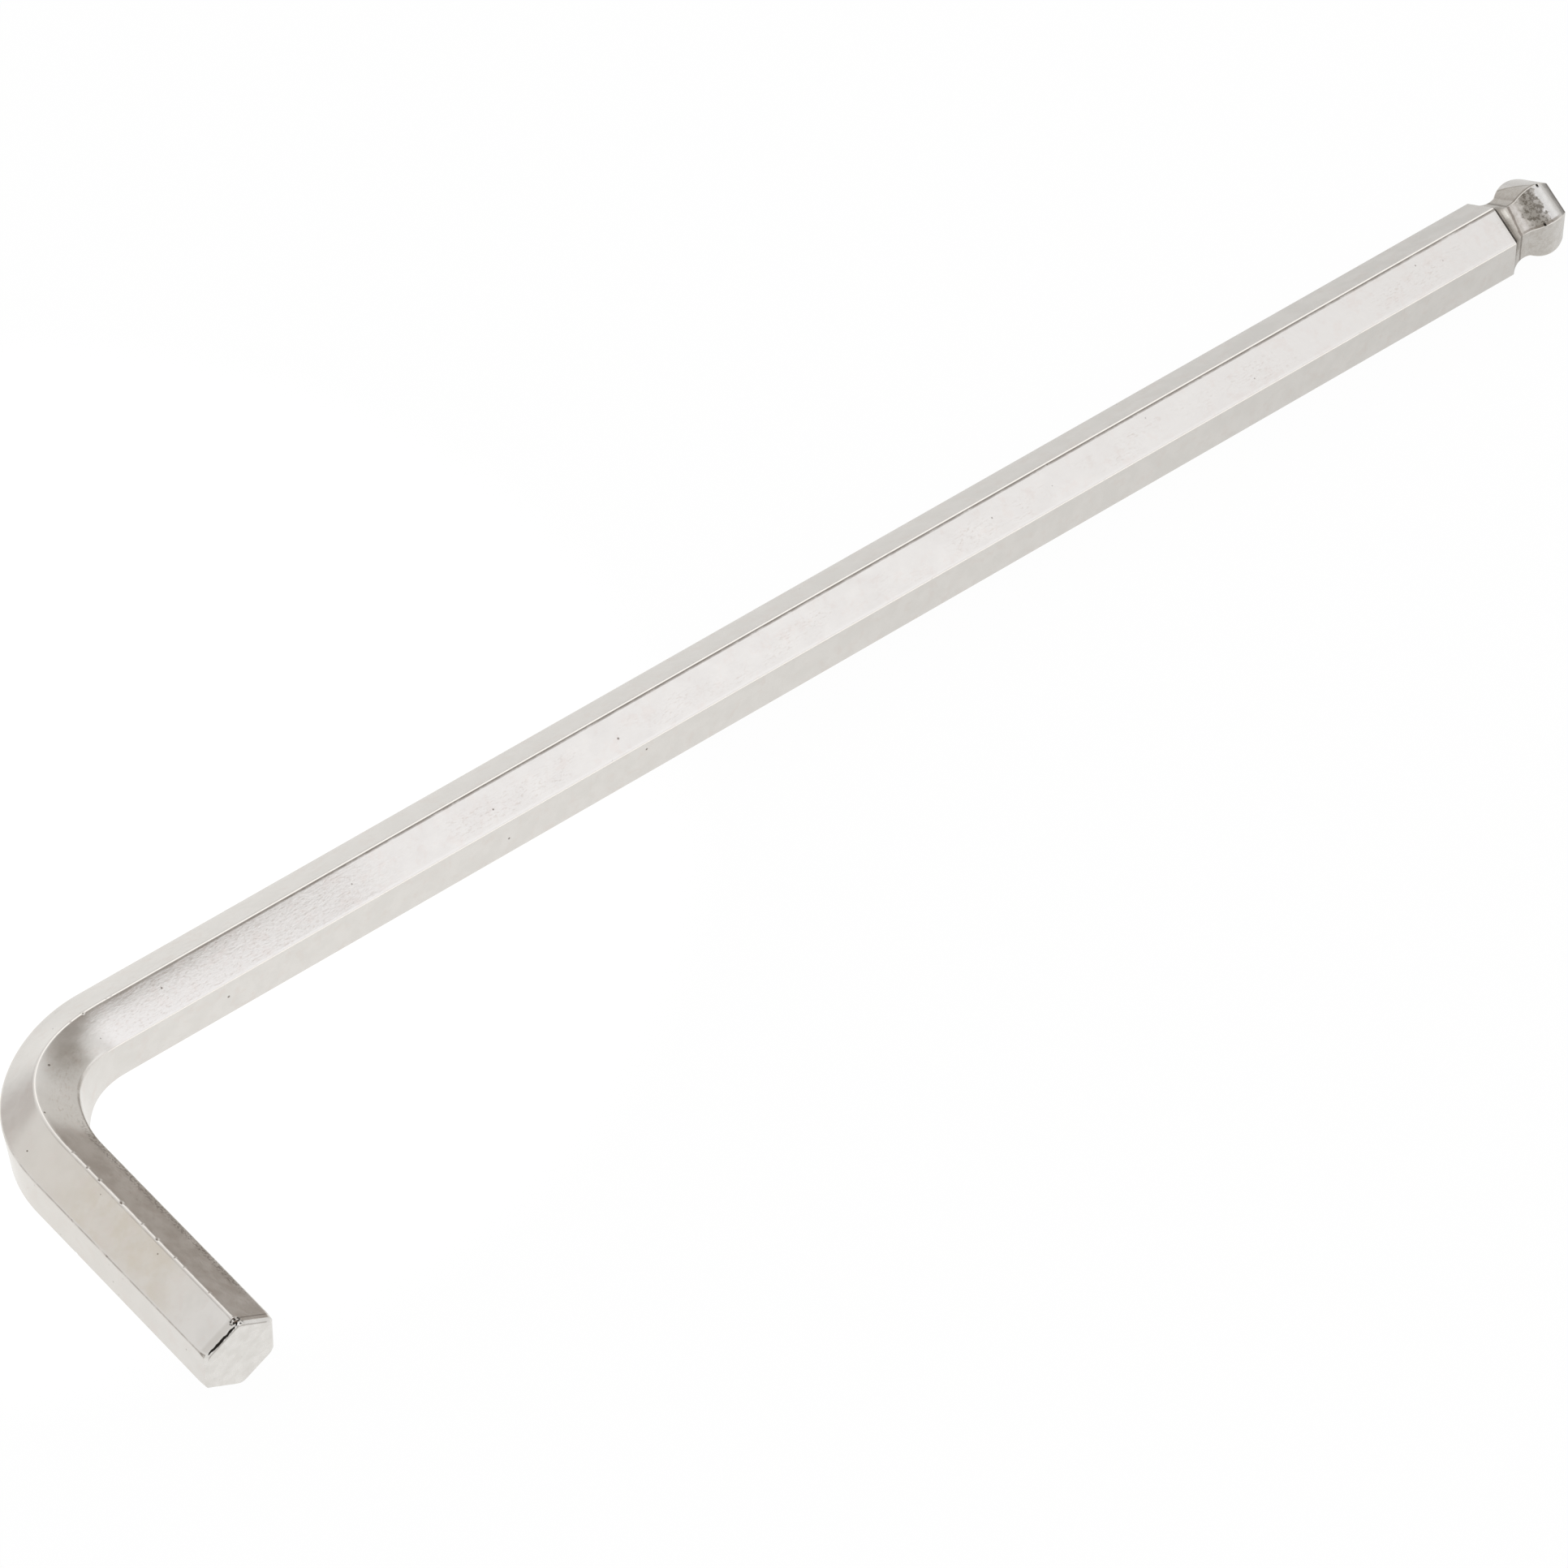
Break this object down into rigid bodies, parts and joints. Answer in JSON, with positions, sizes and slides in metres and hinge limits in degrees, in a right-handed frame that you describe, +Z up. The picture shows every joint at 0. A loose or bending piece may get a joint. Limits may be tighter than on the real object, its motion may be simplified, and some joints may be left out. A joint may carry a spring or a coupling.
{
  "type": "hex key",
  "caption": "L-shaped hexagonal steel key with a ball end on its long arm for entering a socket screw at an angle and a flat end on its short arm for firm turning.",
  "frame": {"origin": "middle of the outline seen from above, at the surface that the key lies on", "axes": "+X along the long arm towards the ball end, -Y along the short arm towards its end, +Z up from the surface"},
  "size_m": [0.208, 0.045, 0.0091],
  "materials": {
    "nickel_plate": "bright nickel plate over drawn steel, slightly warm, with fine pits, drawing scratches and faint stains"
  },
  "bodies": {
    "root": {"hex_key": "nickel_plate"}
  },
  "joints": []
}
